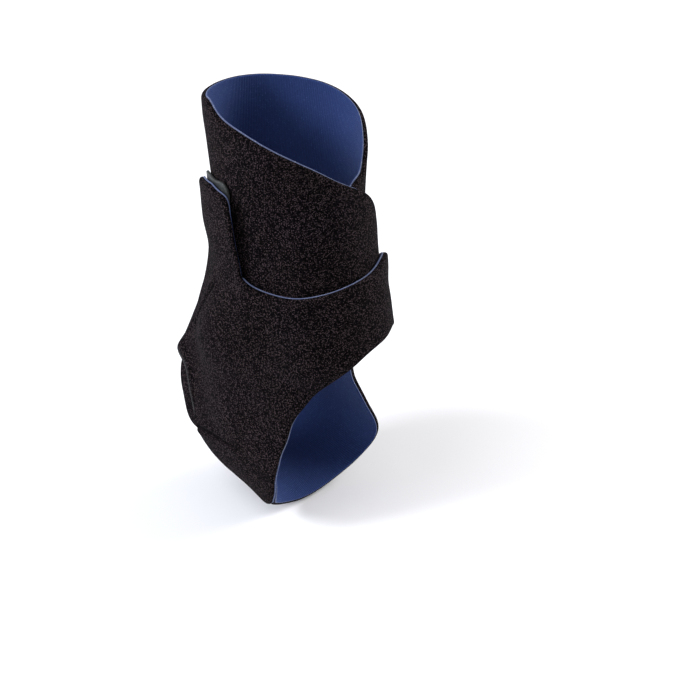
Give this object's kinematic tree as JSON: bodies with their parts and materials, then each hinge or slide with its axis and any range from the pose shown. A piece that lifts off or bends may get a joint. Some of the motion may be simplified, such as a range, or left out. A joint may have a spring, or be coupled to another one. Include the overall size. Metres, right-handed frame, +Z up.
{
  "type": "wrap-around ankle brace",
  "caption": "Soft wrap-around ankle brace: a high cuff round the leg and a strap that passes under the arch, crosses the instep and closes on the outer side, heel left open.",
  "frame": {"origin": "centre of the wearer's ankle joint inside the brace, half-way between the ankle bones", "axes": "+Z up along the leg, -Y towards the toes, -X towards the outer (little toe) side of a right foot"},
  "size_m": [0.0923, 0.127, 0.2227],
  "materials": {
    "loop_fabric": "black brushed loop knit bonded on foam, matt, with fine pale speckle",
    "lining_cloth": "smooth blue jersey, matt",
    "hook_tape": "dark grey moulded hook tape, satin"
  },
  "bodies": {
    "root": {"cuff": "loop_fabric", "foot_wrap": "loop_fabric", "cuff_lining": "lining_cloth", "foot_wrap_lining": "lining_cloth", "hook_tab": "hook_tape", "cuff_hook_patch": "hook_tape"}
  },
  "joints": []
}
